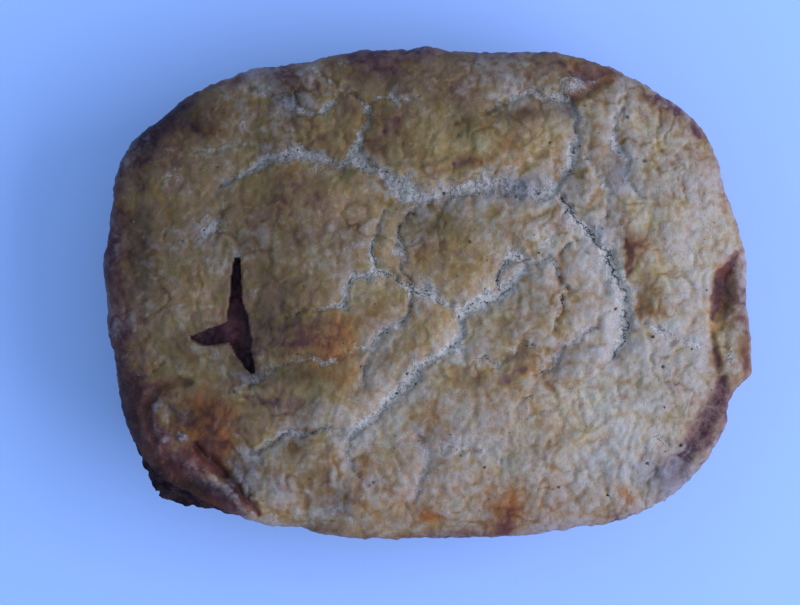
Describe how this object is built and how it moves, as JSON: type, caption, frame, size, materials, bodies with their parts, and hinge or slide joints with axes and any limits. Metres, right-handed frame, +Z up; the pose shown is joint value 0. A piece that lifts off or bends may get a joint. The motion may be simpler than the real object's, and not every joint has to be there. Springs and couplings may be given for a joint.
{
  "type": "steak and potato pie",
  "caption": "Baked savoury pie in a rounded rectangular shape: a straight-sided pastry case under a puffed, cracked lid, with a Y-shaped vent that shows dark filling.",
  "frame": {"origin": "middle of the pie's box at its underside, where it rests", "axes": "+X along the long side, towards the pale end away from the vent; +Y along the short side; +Z up, out of the lid"},
  "size_m": [0.1404, 0.1068, 0.0383],
  "materials": {
    "crust": "baked pastry, satin on the browned plates and dry in the cracks",
    "filling": "wet dark gravy and meat"
  },
  "bodies": {
    "root": {"pie_crust": "crust", "vent_filling": "filling"}
  },
  "joints": []
}
